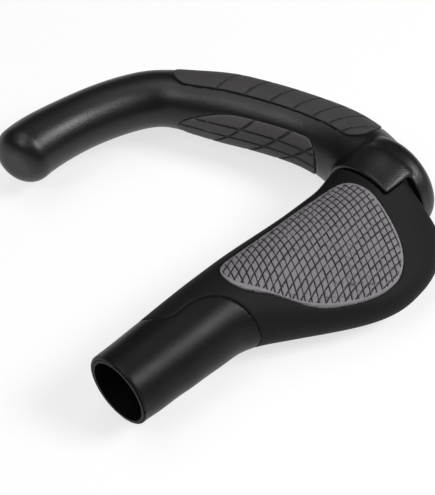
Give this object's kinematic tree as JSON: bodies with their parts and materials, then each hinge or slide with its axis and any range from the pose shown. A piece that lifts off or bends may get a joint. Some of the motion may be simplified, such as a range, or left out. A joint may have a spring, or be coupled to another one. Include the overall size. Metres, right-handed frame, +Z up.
{
  "type": "bar end grip",
  "caption": "Winged handlebar grip with a textured palm pad and a long curved bar end clamped round its outer end, padded for the fingers.",
  "frame": {"origin": "centre of the handlebar bore at the grip's inboard mouth", "axes": "X outboard along the handlebar, the bore opening towards -X; +Y forward, the way the bar end points; +Z up, square to the plane of the bar end"},
  "size_m": [0.1422, 0.148, 0.0363],
  "materials": {
    "core_plastic": "hard black plastic",
    "sleeve_rubber": "satin dark grey rubber",
    "wing_rubber": "matte dark grey rubber",
    "palm_pad": "mid grey rubber with a grid of fine grooves",
    "horn_composite": "satin fibre-filled plastic, dark grey",
    "horn_rubber": "matte dark grey rubber",
    "clamp_metal": "tumbled, plain",
    "fastener_steel": "dull zinc-plated steel"
  },
  "bodies": {
    "grip": {"grip_core": "core_plastic", "inboard_sleeve": "sleeve_rubber", "wing_rubber": "wing_rubber", "palm_pad": "palm_pad"},
    "bar_end": {"horn_body": "horn_composite", "outer_strip": "horn_rubber", "finger_pad": "horn_rubber", "clamp_ring": "clamp_metal", "clamp_nut": "fastener_steel", "bolt_washer": "fastener_steel"},
    "clamp_screw": {"clamp_bolt": "fastener_steel"}
  },
  "joints": [
    {"name": "bar_end_tilt", "type": "hinge", "parent": "grip", "child": "bar_end", "pos_m": [0.12, 0, 0], "axis": [1, 0, 0], "range_deg": [-30, 0]},
    {"name": "bolt_turn", "type": "hinge", "parent": "bar_end", "child": "clamp_screw", "pos_m": [0.1245, 0.0207, 0], "axis": [0, 0, -1], "range_deg": [0, 900]}
  ]
}
